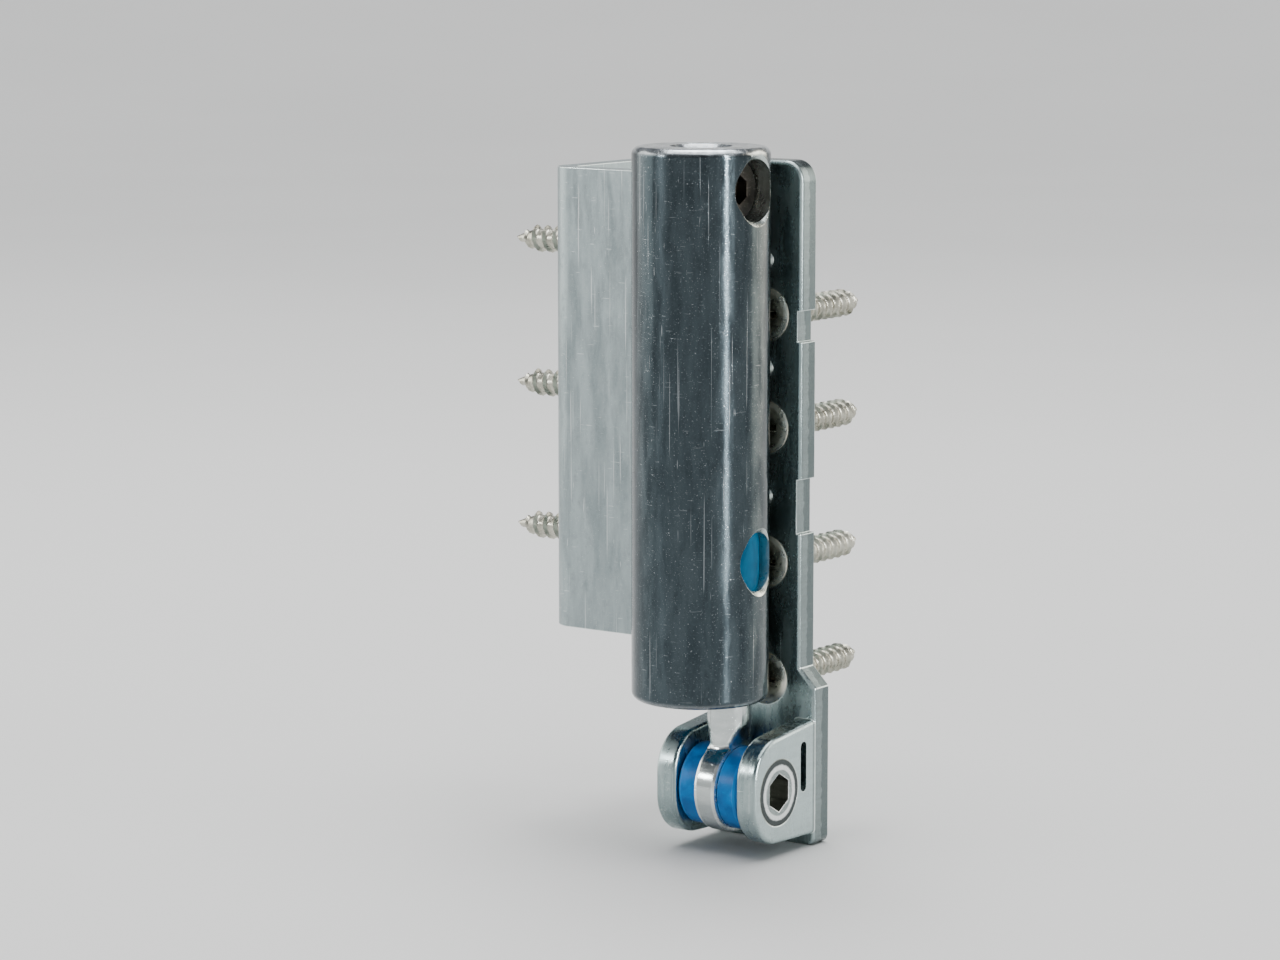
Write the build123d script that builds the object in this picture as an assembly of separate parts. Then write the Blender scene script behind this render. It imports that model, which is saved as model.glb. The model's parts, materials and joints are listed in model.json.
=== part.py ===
from build123d import *
import os

# Bottom corner hinge of a tilt-and-turn window.
# X runs along the window's width, away from the sash. Y runs into the window frame. Z is up.
# The origin is on the plate's back face, in the clevis's middle plane, at the tilt axle's height.

# Frame plate: a flat stamping with a wider foot and two ears bent forward out of the foot.
PLATE_THICKNESS = 3.0
PLATE_WIDTH = 10.0
PLATE_TOP = 73.6
PLATE_BOTTOM = -7.9
PLATE_CORNER_R = 2.5
PLATE_EDGE_R = 0.5
FOOT_WIDTH = 14.4
FOOT_TOP = 11.2
FOOT_CORNER_R = 1.0
NOTCH_SPANS = ((29.5, 36.0), (52.3, 56.0))
NOTCH_DEPTH = 0.6

# Ears of the clevis. Two arcs, one above the other, round the nose.
EAR_INNER = 4.3
EAR_THICKNESS = 2.8
EAR_NOSE_R = 5.0
EAR_NOSE_Y = -10.5
EAR_NOSE_HEIGHTS = (-1.1, 1.6)
EAR_ROOT_TOP = 7.6
EAR_ROOT_BOTTOM = -6.4
EAR_EDGE_R = 0.5
RELIEF_WIDTH = 1.2
RELIEF_HEIGHT = 6.0
RELIEF_Y = -5.2
RELIEF_Z = 2.2

# Countersunk screws with a low dome and a cross recess.
SCREW_HEAD_R = 3.2
SCREW_CONE = 1.3
SCREW_DOME = 0.5
SCREW_NECK_R = 1.4
SCREW_THREAD_R = 1.75
SCREW_HOLE_R = 2.1
SCREW_TIP = 3.0
RECESS_LENGTH = 3.4
RECESS_WIDTH = 0.8
RECESS_DEPTH = 1.7
FRAME_SCREW_LENGTH = 20.0
FRAME_SCREW_HEIGHTS = (11.8, 25.9, 42.0, 55.4)
SPARE_HOLE_HEIGHTS = (33.7, 49.0, 61.8)
SPARE_HOLE_R = 1.0

# Tilt axle, and the flanged bushes that carry the pin's eye on it.
AXLE_Y = -10.4
AXLE_R = 2.5
AXLE_HEAD_R = 4.0
AXLE_SOCKET_ACROSS = 4.0
AXLE_SOCKET_DEPTH = 2.6
AXLE_CHAMFER = 0.3
SEAT_GAP = 0.02
RUNNING_GAP = 0.05
FLANGE_R = 4.9
FLANGE_THICKNESS = 2.7
FLANGE_CHAMFER = 0.4
SLEEVE_R = 3.3
SLEEVE_END_GAP = 0.05

# Hinge pin: a flattened eye below a round pin.
EYE_R = 5.4
EYE_THICKNESS = 3.0
PIN_R = 2.6
NECK_BOTTOM = 5.2
NECK_TOP = 8.0
PIN_TOP = 58.0
PIN_CHAMFER = 0.6

# Barrel, whose axis lies off the pin's axis by the eccentricity of the bush inside it.
OFFSET_X = -2.9
OFFSET_Y = -1.95
BARREL_R = 8.1
BARREL_WALL = 1.1
BARREL_BOTTOM = 10.5
BARREL_TOP = 75.6
BARREL_EDGE_R = 1.0

# What stands on the pin inside the barrel.
BUSH_BOTTOM = 11.2
BUSH_CAP = 3.0
BUSH_CHAMFER = 0.5
STACK_GAP = 0.04
THRUST_R = 6.7
THRUST_HOLE_R = 2.0
WASHER_THICKNESS = 1.2
DISC_THICKNESS = 1.5
BORE_HEADROOM = 0.4

# Height screw in the barrel's top.
HEIGHT_SCREW_R = 3.0
HEIGHT_SCREW_SUNK = 1.0
HEIGHT_SCREW_CHAMFER = 0.4
HEIGHT_SOCKET_ACROSS = 3.0
HEIGHT_SOCKET_DEPTH = 3.0
TOP_COUNTERSINK = 0.7

# Side holes of the barrel: a threaded one for the lock screw, and a window onto the bush.
UPPER_HOLE_R = 3.65
UPPER_HOLE_Z = 70.7
UPPER_HOLE_FLOOR = 2.4
UPPER_RIM = 0.5
WINDOW_R = 3.5
WINDOW_Z = 27.4
WINDOW_TURN = 5.0
WINDOW_RIM = 0.5
LOCK_TIP_GAP = 0.1
LOCK_LENGTH = 2.3
LOCK_SOCKET_ACROSS = 3.0
LOCK_SOCKET_DEPTH = 1.5
LOCK_CHAMFER = 0.3

# Sash leaf: an angle on the sash's edge, joined to the barrel by a slanted neck.
LEAF_THICKNESS = 2.4
LEAF_BACK_Y = -0.9
LEAF_REACH = 32.0
LEAF_LEG = 17.0
LEAF_BOTTOM = 14.9
LEAF_TOP = 71.6
LEAF_INNER_R = 0.8
LEAF_CORNER_R = 3.0
NECK_BACK_X = -9.3
NECK_FRONT_X = -12.6
NECK_BACK_INNER = (-5.4, -6.3)
NECK_FRONT_INNER = (-9.0, -9.9)
SASH_SCREW_LENGTH = 16.0
SASH_SCREW_Y = 8.5
SASH_SCREW_HEIGHTS = (25.0, 43.25, 61.5)

BARREL_X = OFFSET_X
BARREL_Y = AXLE_Y + OFFSET_Y
BORE_R = BARREL_R - BARREL_WALL
BUSH_TOP = PIN_TOP + STACK_GAP + BUSH_CAP
WASHER_BOTTOM = BUSH_TOP + STACK_GAP
DISC_BOTTOM = WASHER_BOTTOM + WASHER_THICKNESS + STACK_GAP
DISC_TOP = DISC_BOTTOM + DISC_THICKNESS
BORE_TOP = DISC_TOP + BORE_HEADROOM
UPRIGHT = (Align.CENTER, Align.CENTER, Align.MIN)


def post(radius, bottom, top, x=0.0, y=0.0):
    """A round bar along Z."""
    return Pos(x, y, bottom) * Cylinder(radius, top - bottom, align=UPRIGHT)


def crossbar(radius, left, right, y, z):
    """A round bar along X."""
    return Pos(left, y, z) * Rot(0, 90, 0) * Cylinder(radius, right - left, align=UPRIGHT)


def crosscone(left_radius, right_radius, left, right, y, z):
    """A cone along X."""
    cone = Cone(left_radius, right_radius, right - left, align=UPRIGHT)
    return Pos(left, y, z) * Rot(0, 90, 0) * cone


def hex_bar(across, length):
    """A hexagonal bar that points up from the origin."""
    return extrude(RegularPolygon(across / 2, 6, major_radius=False), length)


def frame_blank():
    """The flat plate with its foot, before holes."""
    half = PLATE_WIDTH / 2
    foot = FOOT_WIDTH / 2
    slant_top = FOOT_TOP + foot - half
    right = [(foot, PLATE_BOTTOM), (foot, FOOT_TOP), (half, slant_top), (half, PLATE_TOP)]
    left = [(-x, z) for x, z in reversed(right)]
    blank = extrude(Plane.XZ * make_face(Polyline(right + left, close=True)), PLATE_THICKNESS)
    upright = blank.edges().filter_by(Axis.Y).group_by(Axis.Z)
    blank = fillet(upright[-1], PLATE_CORNER_R)
    blank = fillet(blank.edges().filter_by(Axis.Y).group_by(Axis.Z)[0], FOOT_CORNER_R)
    return fillet(blank.faces().sort_by(Axis.Y)[0].edges(), PLATE_EDGE_R)


def ear(side):
    """One ear of the clevis, widening to its root on the plate."""
    root_y = -PLATE_THICKNESS / 2
    arcs = [(Pos(EAR_NOSE_Y, z) * Circle(EAR_NOSE_R)).edge() for z in EAR_NOSE_HEIGHTS]
    root = Line((root_y, EAR_ROOT_BOTTOM), (root_y, EAR_ROOT_TOP))
    plate = extrude(Plane.YZ.offset(EAR_INNER) * make_hull([*arcs, root.edge()]), EAR_THICKNESS)
    rims = plate.edges().filter_by(lambda edge: edge.position_at(0.5).Y < root_y - EAR_EDGE_R)
    plate = fillet(rims.filter_by(Axis.X, reverse=True), EAR_EDGE_R)
    return plate if side > 0 else mirror(plate, Plane.YZ)


def screw_hole(z):
    """Countersunk hole through the plate, from its front."""
    shank = Cylinder(SCREW_HOLE_R, PLATE_THICKNESS, align=UPRIGHT)
    cone = Cone(SCREW_HEAD_R + SEAT_GAP, SCREW_NECK_R + SEAT_GAP, SCREW_CONE, align=UPRIGHT)
    return Pos(0, -PLATE_THICKNESS, z) * Rot(-90, 0, 0) * (shank + cone)


def frame_plate():
    plate = frame_blank() + ear(1) + ear(-1)
    for z in FRAME_SCREW_HEIGHTS:
        plate -= screw_hole(z)
    for z in SPARE_HOLE_HEIGHTS:
        plate -= Pos(0, -PLATE_THICKNESS / 2, z) * Rot(90, 0, 0) * Cylinder(SPARE_HOLE_R, PLATE_THICKNESS)
    for low, high in NOTCH_SPANS:
        notch = Box(NOTCH_DEPTH * 2, PLATE_THICKNESS * 2, high - low)
        plate -= Pos(PLATE_WIDTH / 2, 0, (low + high) / 2) * notch
    reach = EAR_INNER + EAR_THICKNESS
    relief = SlotOverall(RELIEF_HEIGHT, RELIEF_WIDTH, rotation=90)
    plate -= extrude(Plane.YZ * Pos(RELIEF_Y, RELIEF_Z) * relief, reach, both=True)
    plate -= crossbar(AXLE_R + SEAT_GAP, -reach, reach, AXLE_Y, 0)
    head = AXLE_HEAD_R - AXLE_R
    return plate - crosscone(AXLE_R + SEAT_GAP, AXLE_HEAD_R + SEAT_GAP, reach - head, reach, AXLE_Y, 0)


def tilt_axle():
    """Countersunk key screw through both ears."""
    reach = EAR_INNER + EAR_THICKNESS
    head = AXLE_HEAD_R - AXLE_R
    shank = crossbar(AXLE_R, -reach, reach - head, AXLE_Y, 0)
    shank = chamfer(shank.edges().sort_by(Axis.X)[0], AXLE_CHAMFER)
    axle = shank + crosscone(AXLE_R, AXLE_HEAD_R, reach - head, reach, AXLE_Y, 0)
    socket = Rot(0, -90, 0) * hex_bar(AXLE_SOCKET_ACROSS, AXLE_SOCKET_DEPTH)
    return axle - Pos(reach, AXLE_Y, 0) * socket


def tilt_bush():
    """Right-hand flanged bush: the flange runs beside the ear and the sleeve sits in the eye."""
    inner = EYE_THICKNESS / 2
    flange = crossbar(FLANGE_R, inner, inner + FLANGE_THICKNESS, AXLE_Y, 0)
    flange = chamfer(flange.edges().sort_by(Axis.X)[-1], FLANGE_CHAMFER)
    sleeve = crossbar(SLEEVE_R, SLEEVE_END_GAP, inner, AXLE_Y, 0)
    return flange + sleeve - crossbar(AXLE_R + RUNNING_GAP, 0, EAR_INNER, AXLE_Y, 0)


def hinge_pin():
    """Round pin, pressed flat at its lower end to the eye's thickness."""
    half = EYE_THICKNESS / 2
    pin = post(PIN_R, 0, PIN_TOP, 0, AXLE_Y)
    pin = chamfer(pin.edges().sort_by(Axis.Z)[-1], PIN_CHAMFER)
    right = [(half, 0), (half, NECK_BOTTOM), (PIN_R, NECK_TOP), (PIN_R, PIN_TOP)]
    left = [(-x, z) for x, z in reversed(right)]
    side_view = Plane.XZ * make_face(Polyline(right + left, close=True))
    pin &= extrude(side_view, -2 * AXLE_Y)
    pin += crossbar(EYE_R, -half, half, AXLE_Y, 0)
    return pin - crossbar(SLEEVE_R + SEAT_GAP, -half, half, AXLE_Y, 0)


def eccentric_bush():
    """Plastic lining of the barrel with an off-centre bore, closed above the pin."""
    bush = post(BORE_R - RUNNING_GAP, BUSH_BOTTOM, BUSH_TOP, BARREL_X, BARREL_Y)
    bush = chamfer(bush.edges().sort_by(Axis.Z)[0], BUSH_CHAMFER)
    return bush - post(PIN_R + RUNNING_GAP, BUSH_BOTTOM, PIN_TOP + STACK_GAP, 0, AXLE_Y)


def thrust_ring(bottom, thickness):
    ring = post(THRUST_R, bottom, bottom + thickness, BARREL_X, BARREL_Y)
    return ring - post(THRUST_HOLE_R, bottom, bottom + thickness, BARREL_X, BARREL_Y)


def height_screw():
    """Headless key screw on the barrel's axis."""
    top = BARREL_TOP - HEIGHT_SCREW_SUNK
    screw = post(HEIGHT_SCREW_R, DISC_TOP + STACK_GAP, top, BARREL_X, BARREL_Y)
    screw = chamfer(screw.edges().filter_by(GeomType.CIRCLE), HEIGHT_SCREW_CHAMFER)
    socket = hex_bar(HEIGHT_SOCKET_ACROSS, HEIGHT_SOCKET_DEPTH)
    return screw - Pos(BARREL_X, BARREL_Y, top - HEIGHT_SOCKET_DEPTH) * socket


def upper_hole():
    """Flat-floored hole on the barrel's right, with a chamfered rim."""
    mouth = BARREL_X + BARREL_R
    wide = UPPER_HOLE_R + UPPER_RIM
    bore = crossbar(UPPER_HOLE_R, BARREL_X + UPPER_HOLE_FLOOR, mouth, BARREL_Y, UPPER_HOLE_Z)
    return bore + crosscone(UPPER_HOLE_R, wide, mouth - UPPER_RIM, mouth, BARREL_Y, UPPER_HOLE_Z)


def window():
    """Hole through the barrel's wall, turned a little towards the frame, with a wide chamfer."""
    wide = WINDOW_R + WINDOW_RIM
    bore = crossbar(WINDOW_R, 0, BARREL_R, 0, 0)
    bore += crosscone(WINDOW_R, wide, BARREL_R - WINDOW_RIM, BARREL_R, 0, 0)
    return Pos(BARREL_X, BARREL_Y, WINDOW_Z) * Rot(0, 0, WINDOW_TURN) * bore


def barrel():
    shell = post(BARREL_R, BARREL_BOTTOM, BARREL_TOP, BARREL_X, BARREL_Y)
    shell = fillet(shell.edges().filter_by(GeomType.CIRCLE), BARREL_EDGE_R)
    shell -= post(BORE_R, BARREL_BOTTOM, BORE_TOP, BARREL_X, BARREL_Y)
    rim = HEIGHT_SCREW_R + RUNNING_GAP
    shell -= post(rim, BORE_TOP, BARREL_TOP, BARREL_X, BARREL_Y)
    countersink = Cone(rim, rim + TOP_COUNTERSINK, TOP_COUNTERSINK, align=UPRIGHT)
    shell -= Pos(BARREL_X, BARREL_Y, BARREL_TOP - TOP_COUNTERSINK) * countersink
    return shell - upper_hole() - window()


def height_lock_screw():
    """Grub screw in the upper side hole, against the height screw."""
    tip = BARREL_X + HEIGHT_SCREW_R + LOCK_TIP_GAP
    screw = crossbar(UPPER_HOLE_R - RUNNING_GAP, tip, tip + LOCK_LENGTH, BARREL_Y, UPPER_HOLE_Z)
    screw = chamfer(screw.edges().filter_by(GeomType.CIRCLE), LOCK_CHAMFER)
    socket = Rot(0, -90, 0) * hex_bar(LOCK_SOCKET_ACROSS, LOCK_SOCKET_DEPTH)
    return screw - Pos(tip + LOCK_LENGTH, BARREL_Y, UPPER_HOLE_Z) * socket


def leaf_profile():
    """Top view of the leaf: neck, flat and leg."""
    front = LEAF_BACK_Y - LEAF_THICKNESS
    inside = LEAF_THICKNESS - LEAF_REACH
    points = [
        NECK_BACK_INNER,
        (NECK_BACK_X, LEAF_BACK_Y),
        (inside, LEAF_BACK_Y),
        (inside, LEAF_LEG),
        (-LEAF_REACH, LEAF_LEG),
        (-LEAF_REACH, front),
        (NECK_FRONT_X, front),
        NECK_FRONT_INNER,
    ]
    profile = make_face(Polyline(points, close=True))
    inner = profile.vertices().sort_by_distance((inside, LEAF_BACK_Y))[0]
    profile = fillet(inner, LEAF_INNER_R)
    outer = profile.vertices().sort_by_distance((-LEAF_REACH, front))[0]
    return fillet(outer, LEAF_INNER_R + LEAF_THICKNESS)


def sash_leaf():
    leaf = Pos(0, 0, LEAF_BOTTOM) * extrude(leaf_profile(), LEAF_TOP - LEAF_BOTTOM)
    far = leaf.edges().filter_by(Axis.X).group_by(Axis.Y)[-1]
    leaf = fillet(far, LEAF_CORNER_R)
    leaf -= post(BARREL_R + SEAT_GAP, LEAF_BOTTOM, LEAF_TOP, BARREL_X, BARREL_Y)
    face = LEAF_THICKNESS - LEAF_REACH
    for z in SASH_SCREW_HEIGHTS:
        leaf -= crossbar(SCREW_HOLE_R, -LEAF_REACH, face, SASH_SCREW_Y, z)
        cone = (SCREW_NECK_R + SEAT_GAP, SCREW_HEAD_R + SEAT_GAP)
        leaf -= crosscone(*cone, face - SCREW_CONE, face, SASH_SCREW_Y, z)
    return leaf


def countersunk_screw(length, grip):
    """A screw that points up, with its head's rim in the XY plane and its thread beyond the grip."""
    dome = ThreePointArc((0, -SCREW_DOME), (SCREW_HEAD_R / 2, -SCREW_DOME * 0.75), (SCREW_HEAD_R, 0))
    side = Polyline(
        (SCREW_HEAD_R, 0),
        (SCREW_NECK_R, SCREW_CONE),
        (SCREW_NECK_R, grip),
        (SCREW_THREAD_R, grip),
        (SCREW_THREAD_R, length - SCREW_TIP),
        (0, length),
        (0, -SCREW_DOME),
    )
    screw = revolve(Plane.XZ * make_face([dome, side]), Axis.Z)
    for turn in (0, 90):
        blade = Box(RECESS_LENGTH, RECESS_WIDTH, RECESS_DEPTH, align=UPRIGHT)
        screw -= Rot(0, 0, turn) * Pos(0, 0, -SCREW_DOME) * blade
    return screw


def frame_screw(z):
    screw = countersunk_screw(FRAME_SCREW_LENGTH, PLATE_THICKNESS)
    return Pos(0, -PLATE_THICKNESS, z) * Rot(-90, 0, 0) * screw


def sash_screw(z):
    screw = countersunk_screw(SASH_SCREW_LENGTH, LEAF_THICKNESS)
    return Pos(LEAF_THICKNESS - LEAF_REACH, SASH_SCREW_Y, z) * Rot(0, -90, 0) * screw


os.makedirs("parts", exist_ok=True)
right_bush = tilt_bush()
nodes = {
    "frame_plate": frame_plate(),
    "tilt_axle": tilt_axle(),
    "tilt_bush_right": right_bush,
    "tilt_bush_left": mirror(right_bush, Plane.YZ),
    "hinge_pin": hinge_pin(),
    "eccentric_bush": eccentric_bush(),
    "thrust_washer": thrust_ring(WASHER_BOTTOM, WASHER_THICKNESS),
    "thrust_disc": thrust_ring(DISC_BOTTOM, DISC_THICKNESS),
    "height_screw": height_screw(),
    "barrel": barrel(),
    "height_lock_screw": height_lock_screw(),
    "sash_leaf": sash_leaf(),
}
for number, height in enumerate(FRAME_SCREW_HEIGHTS, 1):
    nodes[f"frame_screw_{number}"] = frame_screw(height)
for number, height in enumerate(SASH_SCREW_HEIGHTS, 1):
    nodes[f"sash_screw_{number}"] = sash_screw(height)
for name, shape in nodes.items():
    export_step(shape, f"parts/{name}.step")
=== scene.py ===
import json
import math
from collections import namedtuple

import bmesh
import bpy
from mathutils import Matrix, Vector


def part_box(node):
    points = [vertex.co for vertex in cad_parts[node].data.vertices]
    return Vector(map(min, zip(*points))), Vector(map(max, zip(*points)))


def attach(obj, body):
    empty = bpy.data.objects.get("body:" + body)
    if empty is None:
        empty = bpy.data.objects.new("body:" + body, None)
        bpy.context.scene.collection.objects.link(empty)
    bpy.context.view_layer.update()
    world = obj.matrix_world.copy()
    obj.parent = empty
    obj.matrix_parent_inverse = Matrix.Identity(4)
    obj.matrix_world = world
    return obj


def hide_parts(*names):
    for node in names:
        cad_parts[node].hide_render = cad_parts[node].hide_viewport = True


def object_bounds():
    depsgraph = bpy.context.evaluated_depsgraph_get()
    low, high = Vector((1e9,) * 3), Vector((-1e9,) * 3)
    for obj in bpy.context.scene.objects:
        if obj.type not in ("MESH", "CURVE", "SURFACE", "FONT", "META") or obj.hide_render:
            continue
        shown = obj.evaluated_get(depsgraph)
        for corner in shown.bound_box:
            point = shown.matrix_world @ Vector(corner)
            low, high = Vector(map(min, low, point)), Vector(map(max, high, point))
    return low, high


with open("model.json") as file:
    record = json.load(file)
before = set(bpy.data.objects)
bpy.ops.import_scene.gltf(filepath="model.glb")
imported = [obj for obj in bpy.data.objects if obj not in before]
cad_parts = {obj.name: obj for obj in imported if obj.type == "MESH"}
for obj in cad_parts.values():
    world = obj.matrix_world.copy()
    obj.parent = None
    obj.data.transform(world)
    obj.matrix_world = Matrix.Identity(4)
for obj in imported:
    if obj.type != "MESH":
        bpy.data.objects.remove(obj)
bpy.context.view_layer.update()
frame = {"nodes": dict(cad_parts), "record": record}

MM = 0.001
ALONG_X = (1, 0, 0)
ALONG_Y = (0, 1, 0)
ALONG_Z = (0, 0, 1)

# Rounding of the parts' edges, in millimetres.
EDGE_ROUNDING = {
    "frame_plate": 0.1,
    "sash_leaf": 0.16,
    "barrel": 0.14,
    "tilt_axle": 0.3,
    "tilt_bush_right": 0.22,
    "tilt_bush_left": 0.22,
    "hinge_pin": 0.5,
    "eccentric_bush": 0.25,
    "thrust_washer": 0.15,
    "thrust_disc": 0.12,
    "height_screw": 0.1,
    "height_lock_screw": 0.1,
}
SCREW_ROUNDING = 0.05

# Points nearer than this, in millimetres, become one, and so do faces that turn by less than the angle.
WELD_DISTANCE = 0.001
FLAT_ANGLE = math.radians(0.5)
# Edges sharper than the first angle are rounded, and shading breaks at those sharper than the second.
SHARP_ANGLE = math.radians(33)
SMOOTH_ANGLE = math.radians(52)

# The barrel's two side holes, in millimetres: where they are, and how far round them their walls may lie.
# A wall is told from the barrel's outside and bore by the cosine between its normal and the way out.
WINDOW_HEIGHT = 27.4
WINDOW_TURN = math.radians(5)
WINDOW_REACH = 5.0
WINDOW_COSINE = 0.75
UPPER_HOLE_HEIGHT = 70.7
UPPER_HOLE_REACH = 4.05
WALL_COSINES = (-0.85, 0.93)

# The axle's head, in millimetres from its axis and from its face.
AXLE_RIM_R = 3.55
AXLE_RIM_DEPTH = 0.8
SOCKET_R = 2.4
SOCKET_DEPTHS = (0.1, 4.0)

# Wood screws, in millimetres: the sheets that they go through, their dome and their thread.
PLATE_THICKNESS = 3.0
LEAF_THICKNESS = 2.4
SCREW_DOME = 0.5
THREAD_OVERLAP = 0.02
THREAD_PITCH = 1.6
THREAD_ROOT = 1.22
THREAD_CREST = 1.75
THREAD_TAPER = 3.2
THREAD_COLUMNS = 32
THREAD_ROWS_PER_PITCH = 12
# A crest's half width as a share of the pitch, the power by which the tip closes, and where it stops.
CREST_SHARE = 0.2
TIP_POWER = 0.75
TIP_BLUNTNESS = 0.02

# The camera's place in metres in the part's frame, and its lens and sensor in millimetres.
CAMERA_PLACE = (0.2597, -0.392, 0.104)
CAMERA_LENS = 112.0
SENSOR_WIDTH = 36.0

# The floor, in metres, and the world's light.
FLOOR_RINGS = 24
FLOOR_COLUMNS = 96
FLOOR_REACH = 3.0
FLOOR_FLAT_REACH = 1.2
FLOOR_RISE = 0.9
WORLD_COLOUR = (0.80, 0.83, 0.87, 1.0)
WORLD_STRENGTH = 0.3


# ---------------------------------------------------------------- materials

# A material's dark and light patches, and its bright tone for wear; some parts also draw painted shade and
# painted highlights from them.
Tones = namedtuple("Tones", "dark light bright")


class Graph:
    """Short calls for a material's nodes."""

    def __init__(self, name):
        self.material = bpy.data.materials.new(name)
        self.material.use_nodes = True
        self.nodes = self.material.node_tree.nodes
        self.links = self.material.node_tree.links
        self.nodes.clear()
        output = self.add("ShaderNodeOutputMaterial")
        self.shader = self.add("ShaderNodeBsdfPrincipled")
        self.links.new(self.shader.outputs["BSDF"], output.inputs["Surface"])
        self.place = self.add("ShaderNodeTexCoord").outputs["Object"]

    def add(self, kind, **settings):
        node = self.nodes.new(kind)
        for key, value in settings.items():
            setattr(node, key, value)
        return node

    def feed(self, socket, value):
        if isinstance(value, bpy.types.NodeSocket):
            self.links.new(value, socket)
        else:
            socket.default_value = value

    def split(self, vector):
        """A vector's parts, by the names X, Y and Z."""
        node = self.add("ShaderNodeSeparateXYZ")
        self.links.new(vector, node.inputs[0])
        return node.outputs

    def facing(self, axis):
        """How squarely the surface faces along an axis, either way, from 0 to 1."""
        normal = self.add("ShaderNodeNewGeometry").outputs["Normal"]
        return self.maths("ABSOLUTE", self.split(normal)[axis])

    def stretched(self, scale, turn):
        """The object's coordinates in cells: scale is cells per millimetre along each axis."""
        mapping = self.add("ShaderNodeMapping")
        self.links.new(self.place, mapping.inputs["Vector"])
        mapping.inputs["Rotation"].default_value = turn
        mapping.inputs["Scale"].default_value = [s / MM for s in scale]
        return mapping.outputs["Vector"]

    def noise(self, scale, detail=3.0, roughness=0.55, distortion=0.0, turn=(0.0, 0.0, 0.0)):
        node = self.add("ShaderNodeTexNoise")
        self.links.new(self.stretched(scale, turn), node.inputs["Vector"])
        node.inputs["Scale"].default_value = 1.0
        node.inputs["Detail"].default_value = detail
        node.inputs["Roughness"].default_value = roughness
        node.inputs["Distortion"].default_value = distortion
        return node.outputs["Fac"]

    def ramp(self, value, low, high, start=0.0, end=1.0):
        """Smoothly from start to end while the value goes from low to high."""
        node = self.add("ShaderNodeMapRange")
        node.interpolation_type = "SMOOTHSTEP"
        self.feed(node.inputs["Value"], value)
        node.inputs["From Min"].default_value = low
        node.inputs["From Max"].default_value = high
        node.inputs["To Min"].default_value = start
        node.inputs["To Max"].default_value = end
        return node.outputs["Result"]

    def maths(self, operation, first, second=0.0):
        node = self.add("ShaderNodeMath", operation=operation)
        self.feed(node.inputs[0], first)
        self.feed(node.inputs[1], second)
        return node.outputs[0]

    def plus(self, first, second):
        return self.maths("ADD", first, second)

    def times(self, first, second):
        return self.maths("MULTIPLY", first, second)

    def mix(self, factor, first, second):
        node = self.add("ShaderNodeMix", data_type="RGBA")
        self.feed(node.inputs["Factor"], factor)
        self.feed(node.inputs["A"], first)
        self.feed(node.inputs["B"], second)
        return node.outputs["Result"]

    def bump(self, height, depth, strength, below=None):
        """depth is the height of the relief in millimetres, and below is a bump that it lies on."""
        node = self.add("ShaderNodeBump")
        node.inputs["Strength"].default_value = strength
        node.inputs["Distance"].default_value = depth * MM
        self.links.new(height, node.inputs["Height"])
        if below is not None:
            self.links.new(below, node.inputs["Normal"])
        return node.outputs["Normal"]


def shaded(tone, factor=1.0):
    """A tone made darker or lighter, as a colour with alpha."""
    return (*[part * factor for part in tone], 1.0)


def lengthwise(along, with_axis, across):
    """Noise cells per millimetre that differ along an axis and across it."""
    return [with_axis if on_axis else across for on_axis in along]


def scores(g, along):
    """Scratches along one axis, long and short, and a few fainter nicks across."""
    long_lines = g.noise(lengthwise(along, 0.05, 5.0), detail=2.0, roughness=0.4)
    short_lines = g.noise(lengthwise(along, 0.32, 3.6), detail=1.0, roughness=0.3, distortion=0.4)
    nicks = g.ramp(g.noise((0.5, 0.5, 5.5), detail=1.0, turn=(0.5, 0.3, 0.2)), 0.72, 0.77)
    lines = g.maths("MAXIMUM", g.ramp(long_lines, 0.69, 0.73), g.ramp(short_lines, 0.78, 0.82))
    return g.maths("MAXIMUM", lines, g.times(nicks, 0.6))


def zinc(name, tones, roughness, along=ALONG_Z, scratches=0.5, speckle=0.5, drawn=False, own_marks=None):
    """Zinc plating: mottled, speckled, scratched along one axis, and rougher in patches.
    A drawn tube reflects in long lines along its axis. own_marks paints what only one part has."""
    g = Graph(name)
    if drawn:
        tangent = g.add("ShaderNodeTangent", direction_type="RADIAL", axis="Z")
        g.links.new(tangent.outputs[0], g.shader.inputs["Tangent"])
        g.shader.inputs["Anisotropic"].default_value = 0.8
        g.shader.inputs["Anisotropic Rotation"].default_value = 0.25
    mottle = g.noise(lengthwise(along, 0.12, 0.55), detail=5.0, roughness=0.65, distortion=0.3)
    grain = g.noise((2.4, 2.4, 2.4))
    fine = g.noise((7.0, 7.0, 7.0), detail=2.0)
    stain = g.ramp(g.noise((0.5, 0.5, 0.35), detail=5.0, roughness=0.7), 0.52, 0.72)
    marks = scores(g, along)

    tone = g.mix(g.ramp(mottle, 0.25, 0.75), shaded(tones.dark), shaded(tones.light))
    tone = g.mix(g.times(g.ramp(grain, 0.5, 0.75), 0.35), tone, shaded(tones.light))
    tone = g.mix(g.times(stain, 0.3), tone, shaded(tones.dark, 0.55))
    tone = g.mix(g.times(g.ramp(fine, 0.66, 0.74), speckle), tone, shaded(tones.bright))
    tone = g.mix(g.times(marks, scratches), tone, shaded(tones.bright))
    if own_marks:
        tone = own_marks(g, tone, tones)
    g.feed(g.shader.inputs["Base Color"], tone)
    g.shader.inputs["Metallic"].default_value = 1.0

    rough = g.ramp(mottle, 0.3, 0.7, roughness - 0.06, roughness + 0.08)
    rough = g.plus(g.plus(rough, g.times(grain, 0.08)), g.times(stain, 0.1))
    g.feed(g.shader.inputs["Roughness"], rough)
    relief = g.bump(grain, 0.012, 0.6)
    relief = g.bump(fine, 0.006, 0.5, relief)
    relief = g.bump(g.maths("SUBTRACT", 1.0, marks), 0.015, 0.5, relief)
    g.links.new(relief, g.shader.inputs["Normal"])
    return g.material


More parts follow.
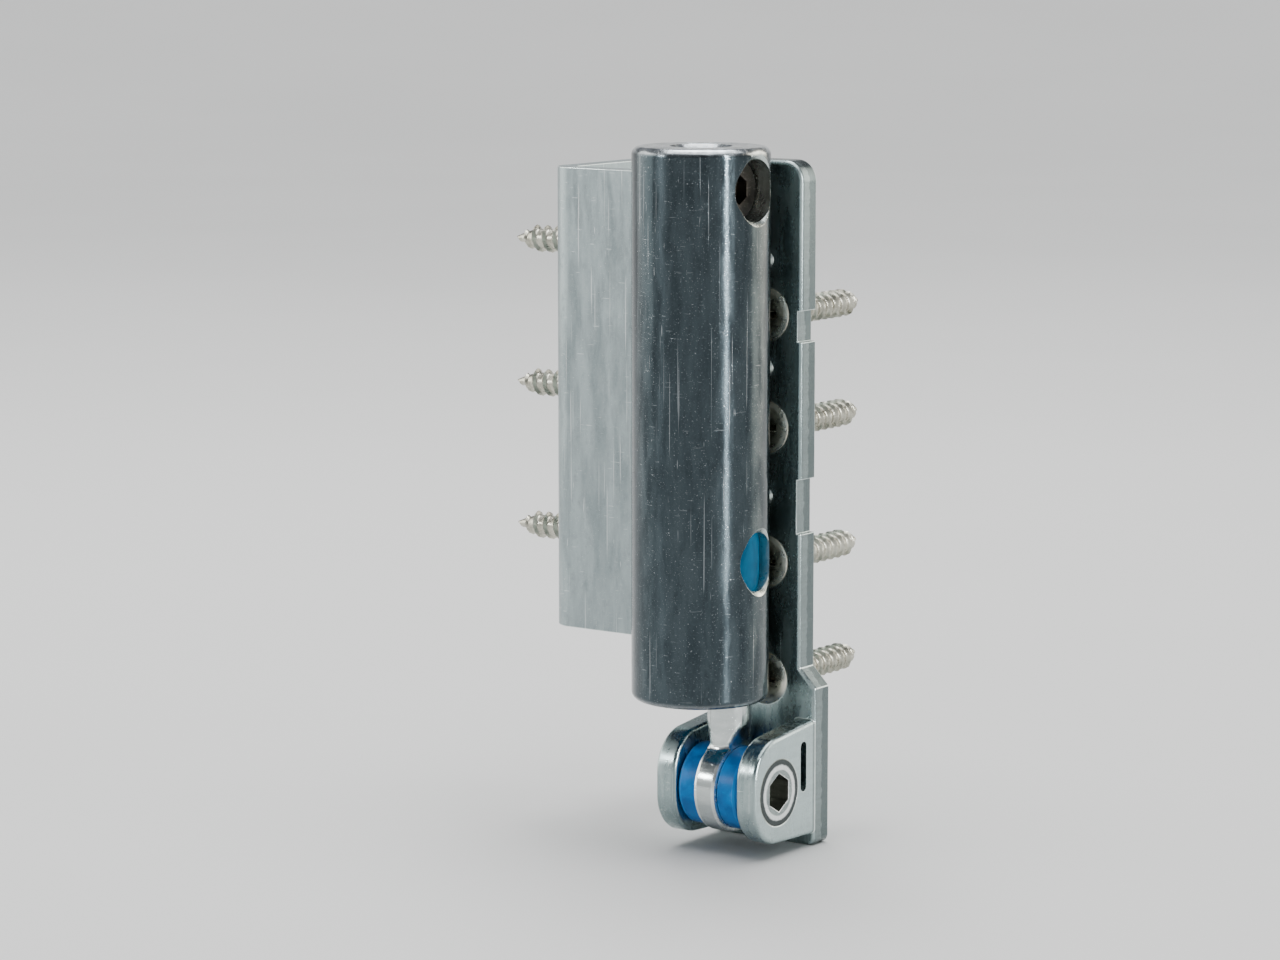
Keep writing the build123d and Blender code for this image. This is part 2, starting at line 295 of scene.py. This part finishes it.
def rims_wear_and_highlight(g, tone, tones):
    """On the barrel: bright rims within about a millimetre of its two ends, on faces that turn up or down:
    rubbed wear with a painted highlight.
    """
    bottom, top = (corner.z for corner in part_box("barrel"))
    height = g.split(g.place)["Z"]
    uneven = g.ramp(g.noise((0.9, 0.9, 0.9), detail=4.0), 0.3, 0.7, 0.55, 1.0)
    round_face = g.ramp(g.facing("Z"), 0.1, 0.75)
    near_top = g.ramp(height, top - 1.3 * MM, top - 0.6 * MM)
    near_bottom = g.ramp(height, bottom + 1.0 * MM, bottom + 0.4 * MM, 0.0, 0.4)
    ends = g.maths("MAXIMUM", near_top, near_bottom)
    # Painted highlight and wear: the rims turn bright where their faces turn up or down.
    return g.mix(g.times(g.times(ends, round_face), uneven), tone, shaded(tones.bright))


def sheared_band_and_ear_sheen(g, tone, tones):
    """On the plate's side faces: the ears' sides, painted lighter and streaked as a painted reflection, and
    on the sheet's own edges a bright sheared band at the front and a dull torn one behind."""
    sideways = g.ramp(g.facing("Y"), 0.75, 0.35)
    depth = g.split(g.place)["Y"]
    front = -PLATE_THICKNESS
    wobble = g.times(g.noise((0.6, 0.6, 0.9)), 1.1 * MM)
    torn = g.ramp(g.plus(depth, wobble), -1.0 * MM, -0.8 * MM)
    edge = g.ramp(depth, (front - 0.4) * MM, front * MM)
    streaks = g.noise((2.6, 0.2, 2.6), detail=2.0)
    # Painted reflection: the ears' sides are a lighter copy of the plate's own tone.
    ear_side_sheen = g.mix(streaks, shaded(tones.light), shaded(tones.light, 1.35))
    sheared = g.mix(streaks, shaded(tones.light, 0.45), shaded(tones.light, 0.68))
    dull = g.mix(streaks, shaded(tones.dark, 0.5), shaded(tones.light, 0.36))
    return g.mix(sideways, tone, g.mix(edge, ear_side_sheen, g.mix(torn, sheared, dull)))


def head_shade_and_highlight(g, tone, tones):
    """On the axle's head: painted shade in the groove at its rim, a painted highlight ring inside it, and a
    dull middle.
    """
    low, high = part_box("tilt_axle")
    axis = (low + high) / 2
    place = g.split(g.place)
    aside = g.maths("POWER", g.maths("ABSOLUTE", g.maths("SUBTRACT", place["Y"], axis.y)), 2.0)
    above = g.maths("POWER", g.maths("ABSOLUTE", g.maths("SUBTRACT", place["Z"], axis.z)), 2.0)
    reach = g.maths("SQRT", g.plus(aside, above))
    reach = g.plus(reach, g.times(g.noise((1.4, 1.4, 1.4)), 0.25 * MM))
    groove = g.ramp(reach, 3.3 * MM, AXLE_RIM_R * MM)
    ring = g.ramp(reach, 2.75 * MM, 2.95 * MM)
    # Painted shade darkens the rim groove and a painted highlight lightens the ring.
    return g.mix(groove, g.mix(ring, tone, shaded(tones.bright)), shaded(tones.dark, 0.28))


def shaded_screw_head(g, tone, tones):
    """On a screw's head: painted shade towards its recess and a bright rubbed rim. reach is in millimetres.
    """
    reach = g.add("ShaderNodeAttribute", attribute_name="reach").outputs["Fac"]
    reach = g.plus(reach, g.times(g.noise((1.6, 1.6, 1.6)), 0.5))
    # Painted shade darkens the head towards its recess.
    tone = g.mix(g.ramp(reach, 2.5, 1.7, 0.0, 0.85), tone, shaded(tones.dark, 0.2))
    return g.mix(g.ramp(reach, 2.6, 3.0, 0.0, 0.9), tone, shaded(tones.bright))


def moulded(name, tones, roughness, gloss=0.3):
    """Moulded plastic with a soft bloom, a fine moulded grain and rubbed scores round its axis."""
    g = Graph(name)
    bloom = g.noise((0.35, 0.35, 0.3), detail=4.0, distortion=0.4)
    grain = g.noise((5.0, 5.0, 5.0), detail=2.0)
    rings = g.noise((0.5, 0.5, 3.5), detail=2.0)
    rub = g.ramp(g.noise((1.2, 1.2, 2.6), roughness=0.7), 0.6, 0.74)
    tone = g.mix(g.ramp(bloom, 0.3, 0.7), shaded(tones.dark), shaded(tones.light))
    tone = g.mix(g.times(rub, 0.35), tone, shaded(tones.bright))
    tone = g.mix(g.times(g.ramp(grain, 0.64, 0.72), 0.25), tone, shaded(tones.bright))
    g.feed(g.shader.inputs["Base Color"], tone)
    g.shader.inputs["Specular IOR Level"].default_value = gloss
    rough = g.ramp(bloom, 0.3, 0.7, roughness - 0.05, roughness + 0.08)
    g.feed(g.shader.inputs["Roughness"], g.plus(rough, g.times(rub, 0.15)))
    relief = g.bump(grain, 0.01, 0.5)
    relief = g.bump(rings, 0.02, 0.4, relief)
    g.links.new(relief, g.shader.inputs["Normal"])
    return g.material


def paper(name, tone, variation):
    """Matt pale card for the floor."""
    g = Graph(name)
    cloud = g.noise((0.004, 0.004, 0.004))
    fibre = g.noise((1.5, 1.5, 1.5))
    paler = [part + variation for part in tone]
    g.feed(g.shader.inputs["Base Color"], g.mix(g.ramp(cloud, 0.3, 0.7), shaded(tone), shaded(paler)))
    g.feed(g.shader.inputs["Roughness"], g.ramp(fibre, 0.3, 0.7, 0.75, 0.85))
    g.links.new(g.bump(fibre, 0.02, 0.3), g.shader.inputs["Normal"])
    return g.material


PLATE = zinc(
    "plate_zinc_look", Tones((0.22, 0.29, 0.295), (0.38, 0.46, 0.46), (0.86, 0.92, 0.9)), 0.21,
    own_marks=sheared_band_and_ear_sheen)
PLATE_EDGE = zinc(
    "plate_zinc_edge", Tones((0.42, 0.50, 0.49), (0.66, 0.73, 0.71), (0.95, 0.97, 0.95)), 0.24)
LEAF = zinc(
    "leaf_zinc_look", Tones((0.24, 0.29, 0.30), (0.35, 0.41, 0.42), (0.86, 0.9, 0.9)), 0.30)
# Painted reflection: the barrel's tones are far darker than zinc and stand in for dark surroundings that it
# reflects; the mottle, speckle and scratches on it are real.
BARREL = zinc(
    "barrel_zinc_painted_dark", Tones((0.034, 0.046, 0.053), (0.066, 0.086, 0.096), (0.62, 0.66, 0.69)), 0.155,
    scratches=0.3, speckle=0.6, drawn=True, own_marks=rims_wear_and_highlight)
BARREL_EDGE = zinc(
    "barrel_zinc_edge", Tones((0.38, 0.43, 0.42), (0.6, 0.66, 0.64), (0.9, 0.92, 0.92)), 0.22)
STEEL = zinc(
    "pin_steel_look", Tones((0.42, 0.46, 0.46), (0.62, 0.66, 0.65), (0.92, 0.94, 0.93)), 0.15, ALONG_X)
STEEL_EDGE = zinc(
    "pin_steel_edge", Tones((0.66, 0.7, 0.69), (0.88, 0.9, 0.89), (0.96, 0.97, 0.96)), 0.18, ALONG_X)
SCREW = zinc(
    "screw_zinc_look", Tones((0.33, 0.32, 0.26), (0.58, 0.57, 0.49), (0.9, 0.88, 0.78)), 0.26, ALONG_Y)
SCREW_EDGE = zinc(
    "screw_zinc_edge", Tones((0.6, 0.57, 0.45), (0.86, 0.83, 0.7), (0.97, 0.95, 0.86)), 0.22, ALONG_Y)
AXLE = zinc(
    "axle_steel_look", Tones((0.20, 0.24, 0.24), (0.32, 0.37, 0.36), (0.8, 0.84, 0.83)), 0.2, ALONG_X,
    own_marks=head_shade_and_highlight)
SCREW_TOP = zinc(
    "screw_head_look", Tones((0.26, 0.25, 0.19), (0.48, 0.47, 0.38), (0.9, 0.88, 0.76)), 0.24, ALONG_Y,
    own_marks=shaded_screw_head)
# Painted shade: the lock screw deep in its hole is made nearly black.
LOCK_SCREW_SHADE = zinc(
    "lock_screw_painted_shade", Tones((0.022, 0.019, 0.016), (0.06, 0.052, 0.044), (0.3, 0.28, 0.25)), 0.32,
    ALONG_X)
# Painted shade for the groove round the axle's head and for its key socket.
GROOVE_SHADE = zinc(
    "painted_groove_shade", Tones((0.10, 0.11, 0.095), (0.26, 0.27, 0.24), (0.6, 0.62, 0.56)), 0.3, ALONG_X)
AZURE = moulded(
    "bush_azure_look", Tones((0.0, 0.075, 0.25), (0.0, 0.15, 0.45), (0.0, 0.26, 0.58)), 0.36, gloss=0.2)
AZURE_EDGE = moulded(
    "bush_azure_edge", Tones((0.0, 0.11, 0.36), (0.0, 0.19, 0.54), (0.01, 0.32, 0.64)), 0.32)
# Painted shade: a darker copy of the blue bush for the eccentric bush inside the barrel.
AZURE_SHADED = moulded(
    "bush_azure_painted_shade", Tones((0.0, 0.045, 0.095), (0.0, 0.085, 0.165), (0.0, 0.15, 0.25)), 0.5, gloss=0.05)
WHITE = moulded(
    "washer_acetal_look", Tones((0.62, 0.62, 0.57), (0.78, 0.78, 0.74), (0.88, 0.88, 0.85)), 0.4)

# Each slot's looks: the part's own, and that of its rounded edges.
LOOKS = {
    "plate_zinc": (PLATE, PLATE_EDGE),
    "barrel_zinc": (BARREL, BARREL_EDGE),
    "pin_steel": (STEEL, STEEL_EDGE),
    "screw_zinc": (SCREW, SCREW_EDGE),
    "bush_blue": (AZURE, AZURE_EDGE),
    "washer_plastic": (WHITE, WHITE),
}


# ---------------------------------------------------------------- pieces

BODY_OF = {node: body for body, nodes in frame["record"]["behaviour"]["bodies"].items() for node in nodes}


def slot_of(node):
    """The record's material slot of a CAD node."""
    return frame["nodes"][node].data.materials[0].name.split(".")[0]


def top_and_middle(node):
    """The highest corner of a CAD node's box and the box's middle, in millimetres."""
    low, high = (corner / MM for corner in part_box(node))
    return high, (low + high) / 2


def welded(node):
    """The CAD node's surface with its flat faces whole."""
    surface = bmesh.new()
    surface.from_mesh(frame["nodes"][node].data)
    bmesh.ops.remove_doubles(surface, verts=surface.verts, dist=WELD_DISTANCE * MM)
    bmesh.ops.dissolve_limit(surface, angle_limit=FLAT_ANGLE, verts=surface.verts, edges=surface.edges)
    return surface


def round_edges(surface, width, limited):
    """Rounds every edge sharper than SHARP_ANGLE, and gives the rounding the second material.
    limited lets Blender narrow the rounding where edges lie close together."""
    for face in surface.faces:
        face.material_index = 0
    edges = [e for e in surface.edges if e.is_manifold and e.calc_face_angle(0.0) > SHARP_ANGLE]
    bmesh.ops.bevel(
        surface, geom=edges, offset=width * MM, offset_type="OFFSET", segments=2, profile=0.6,
        affect="EDGES", clamp_overlap=limited, material=1)


def shown(name, data):
    """A new object in the scene."""
    thing = bpy.data.objects.new(name, data)
    bpy.context.scene.collection.objects.link(thing)
    return thing


def shown_mesh(name, surface, looks):
    """A new smooth-shaded object with this surface."""
    for face in surface.faces:
        face.smooth = True
    mesh = bpy.data.meshes.new(name)
    surface.to_mesh(mesh)
    surface.free()
    for look in looks:
        mesh.materials.append(look)
    return shown(name, mesh)


def finished(name, surface, looks, node):
    """Makes the node's piece from its surface, with smooth shading broken at its sharp edges."""
    for edge in surface.edges:
        edge.smooth = not edge.is_manifold or edge.calc_face_angle(0.0) < SMOOTH_ANGLE
    piece = shown_mesh(name, surface, looks)
    normals = piece.modifiers.new("flat_faces", "WEIGHTED_NORMAL")
    normals.keep_sharp = True
    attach(piece, BODY_OF[node])
    slot_of(node)
    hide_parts(node)


def rounded_part(node, looks=None, limited=True, marked=None):
    """The node with rounded edges. marked tells from a face's centre, in millimetres, and its normal
    whether the face gets the last of the looks."""
    looks = looks or LOOKS[slot_of(node)]
    surface = welded(node)
    round_edges(surface, EDGE_ROUNDING[node], limited)
    if marked:
        surface.normal_update()
        for face in surface.faces:
            if marked(face.calc_center_median() / MM, face.normal):
                face.material_index = len(looks) - 1
    finished(node + "_finish", surface, looks, node)


def axle_shaded_faces():
    """A test for the rim of the axle's head, where it meets the ear, and for its key socket: the faces that
    get painted shade.
    """
    high, axis = top_and_middle("tilt_axle")
    nearest, deepest = SOCKET_DEPTHS

    def test(centre, normal):
        reach = math.hypot(centre.y - axis.y, centre.z - axis.z)
        rim = reach > AXLE_RIM_R and centre.x > high.x - AXLE_RIM_DEPTH
        socket = reach < SOCKET_R and high.x - deepest < centre.x < high.x - nearest
        return rim or socket
    return test


def hole_walls():
    """A test for the walls of the barrel's two side holes, and the broad chamfer round the lower one."""
    axis = top_and_middle("barrel")[1]
    window_way = Vector((math.cos(WINDOW_TURN), math.sin(WINDOW_TURN), 0))
    inmost, outmost = WALL_COSINES

    def test(centre, normal):
        out = Vector((centre.x - axis.x, centre.y - axis.y, 0)).normalized()
        window = abs(centre.z - WINDOW_HEIGHT) < WINDOW_REACH and out.dot(window_way) > WINDOW_COSINE
        from_upper = math.hypot(centre.y - axis.y, centre.z - UPPER_HOLE_HEIGHT)
        upper = from_upper < UPPER_HOLE_REACH and centre.x > axis.x
        return (window or upper) and inmost < normal.dot(out) < outmost
    return test


def round_axis(angle, radius, height):
    """A point at an angle round the Z axis."""
    return Vector((radius * math.cos(angle), radius * math.sin(angle), height))


def bridge(surface, lower, upper):
    """Four-sided faces between two closed rings that have as many points each."""
    for column in range(len(lower)):
        beside = (column + 1) % len(lower)
        surface.faces.new((lower[column], lower[beside], upper[beside], upper[column]))


def thread_radius(turn, height, length):
    """Radius of a wood screw's thread: a sharp crest on a round root, drawn to a point at the tip."""
    phase = (height / THREAD_PITCH - turn) % 1.0
    tooth = max(0.0, 1.0 - abs(phase - 0.5) / CREST_SHARE)
    start = min(1.0, height / THREAD_PITCH)
    point = min(1.0, max(TIP_BLUNTNESS, (length - height) / THREAD_TAPER)) ** TIP_POWER
    return (THREAD_ROOT + (THREAD_CREST - THREAD_ROOT) * tooth * start) * point


def thread_surface(length):
    """A thread that grows along +Z from the XY plane."""
    surface = bmesh.new()
    rows = int(length / THREAD_PITCH * THREAD_ROWS_PER_PITCH)
    rings = []
    for row in range(rows + 1):
        height = length * row / rows
        ring = []
        for column in range(THREAD_COLUMNS):
            turn = column / THREAD_COLUMNS
            point = round_axis(math.tau * turn, thread_radius(turn, height, length), height)
            ring.append(surface.verts.new(point * MM))
        rings.append(ring)
    for lower, upper in zip(rings, rings[1:]):
        bridge(surface, lower, upper)
    surface.faces.new(reversed(rings[0]))
    surface.faces.new(rings[-1])
    return surface


def threaded_screw(node, along, grip):
    """A countersunk screw that points along an axis: head and neck, then a real thread beyond the grip."""
    axis = Vector(along)
    low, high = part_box(node)
    centre = (low + high) / 2
    half = abs((high - low).dot(axis)) / 2
    rim = centre - axis * (half - SCREW_DOME * MM)
    tip = centre + axis * half
    cut = rim + axis * grip * MM - axis * THREAD_OVERLAP * MM

    head = welded(node)
    everything = list(head.verts) + list(head.edges) + list(head.faces)
    bmesh.ops.bisect_plane(head, geom=everything, plane_co=cut, plane_no=axis, clear_outer=True)
    cut_edges = [e for e in head.edges if e.is_boundary]
    bmesh.ops.contextual_create(head, geom=cut_edges)
    round_edges(head, SCREW_ROUNDING, limited=False)
    reach = head.verts.layers.float.new("reach")
    for vert in head.verts:
        out = vert.co - centre
        vert[reach] = (out - axis * out.dot(axis)).length / MM
    finished(node + "_head", head, (SCREW_TOP, SCREW_EDGE), node)

    thread = thread_surface((tip - cut).length / MM)
    upright_to_axis = Vector(ALONG_Z).rotation_difference(axis).to_matrix().to_4x4()
    bmesh.ops.transform(thread, matrix=Matrix.Translation(cut) @ upright_to_axis, verts=thread.verts)
    finished(node + "_thread", thread, (SCREW, SCREW_EDGE), node)


def make_pieces():
    rounded_part("frame_plate", limited=False)
    rounded_part("sash_leaf", (LEAF, PLATE_EDGE))
    rounded_part("barrel", marked=hole_walls())
    # The axle's rim groove and key socket get painted shade.
    rounded_part("tilt_axle", (AXLE, STEEL_EDGE, GROOVE_SHADE), marked=axle_shaded_faces())
    rounded_part("hinge_pin", limited=False)
    rounded_part("height_lock_screw", (LOCK_SCREW_SHADE, LOCK_SCREW_SHADE))
    rounded_part("eccentric_bush", (AZURE_SHADED, AZURE_EDGE))
    for node in ("tilt_bush_right", "tilt_bush_left", "thrust_washer", "thrust_disc", "height_screw"):
        rounded_part(node)
    for node in sorted(frame["nodes"]):
        if node.startswith("frame_screw"):
            threaded_screw(node, ALONG_Y, PLATE_THICKNESS)
        elif node.startswith("sash_screw"):
            threaded_screw(node, (-1, 0, 0), LEAF_THICKNESS)


# ---------------------------------------------------------------- studio

def aim(thing, place, target):
    """Puts a lamp or camera in its place and points it at the target."""
    thing.location = place
    thing.rotation_euler = (target - place).to_track_quat("-Z", "Y").to_euler()


def area_light(name, place, target, size, power, tint=(1.0, 1.0, 1.0), spread=110, receivers=None,
               blockers=None):
    """A lamp that no camera sees. Collections can limit what it lights and what throws its shadows."""
    lamp = bpy.data.lights.new(name, "AREA")
    lamp.shape = "RECTANGLE"
    lamp.size, lamp.size_y = size
    lamp.energy = power
    lamp.spread = math.radians(spread)
    lamp.color = tint
    thing = shown(name, lamp)
    thing.visible_camera = False
    thing.light_linking.receiver_collection = receivers
    thing.light_linking.blocker_collection = blockers
    aim(thing, place, target)


def make_floor(height):
    """A large plain floor, flat round the object and rising far out, so that it fills the camera's view."""
    surface = bmesh.new()
    centre = surface.verts.new((0.0, 0.0, height))
    inner = None
    for ring in range(1, FLOOR_RINGS + 1):
        radius = FLOOR_REACH * (ring / FLOOR_RINGS) ** 2
        beyond = max(0.0, (radius - FLOOR_FLAT_REACH) / (FLOOR_REACH - FLOOR_FLAT_REACH))
        lift = FLOOR_RISE * beyond ** 2
        outer = []
        for column in range(FLOOR_COLUMNS):
            point = round_axis(math.tau * column / FLOOR_COLUMNS, radius, height + lift)
            outer.append(surface.verts.new(point))
        if inner is None:
            for column in range(FLOOR_COLUMNS):
                surface.faces.new((centre, outer[column], outer[(column + 1) % FLOOR_COLUMNS]))
        else:
            bridge(surface, outer, inner)
        inner = outer
    floor = shown_mesh("studio_floor", surface, [paper("studio_floor_look", (0.80, 0.80, 0.79), 0.03)])
    return floor


def all_but(floor):
    """A light-linking collection for the lamps at the sides, so that they draw no edges on the floor."""
    receivers = bpy.data.collections.new("all_but_the_floor")
    receivers.objects.link(floor)
    receivers.collection_objects[0].light_linking.link_state = "EXCLUDE"
    return receivers


def only(piece_name):
    """A light-linking collection of one piece."""
    receivers = bpy.data.collections.new(piece_name + "_only")
    receivers.objects.link(bpy.data.objects[piece_name])
    return receivers


def make_lamps(middle, off_the_floor):
    """An even lamp overhead, a soft one above and behind the object, and lamps at its sides. Places are in
    metres from the object's middle, as the camera sees them: to its right, away from it, and up."""
    view = middle - Vector(CAMERA_PLACE)
    away = Vector((view.x, view.y, 0)).normalized()
    right = Vector((away.y, -away.x, 0))
    barrel = only("barrel_finish")
    right_hand = (0.828, 0.351, 0.25)

    def lamp(name, seen, size, power, **settings):
        place = middle + right * seen[0] + away * seen[1] + Vector(ALONG_Z) * seen[2]
        area_light(name, place, middle, size, power, **settings)

    lamp("overhead", (0.0, 0.0, 3.0), (3.75, 3.75), 122.0, spread=180)
    lamp("key", (0.0, 0.35, 0.75), (0.45, 0.45), 1.6)
    lamp("strip", (0.603, -0.666, 0.15), (0.04, 0.8), 4.0, receivers=off_the_floor)
    lamp("left", (-0.665, 0.217, 0.2), (0.62, 0.5), 1.2, tint=(1.0, 0.99, 0.93), receivers=off_the_floor)
    lamp("spot_left", (-0.517, -0.187, 0.2), (0.1, 0.08), 0.3, receivers=off_the_floor)
    lamp("right", right_hand, (0.75, 0.7), 1.8, tint=(1.0, 0.96, 0.88), receivers=off_the_floor)
    # The plate stands between this lamp and the barrel, so only the barrel may block it.
    lamp("glow", right_hand, (0.75, 0.7), 3.0, tint=(1.0, 0.85, 0.62), receivers=barrel, blockers=barrel)


def make_world():
    world = bpy.data.worlds.new("studio")
    world.use_nodes = True
    background = world.node_tree.nodes["Background"]
    background.inputs["Color"].default_value = WORLD_COLOUR
    background.inputs["Strength"].default_value = WORLD_STRENGTH
    bpy.context.scene.world = world


def make_camera(middle):
    lens = bpy.data.cameras.new("camera")
    lens.sensor_width = SENSOR_WIDTH
    lens.lens = CAMERA_LENS
    camera = shown("camera", lens)
    aim(camera, Vector(CAMERA_PLACE), middle)
    bpy.context.scene.camera = camera


def make_studio():
    low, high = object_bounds()
    middle = (low + high) / 2
    floor = make_floor(low.z)
    make_world()
    make_lamps(middle, all_but(floor))
    make_camera(middle)


make_pieces()
make_studio()
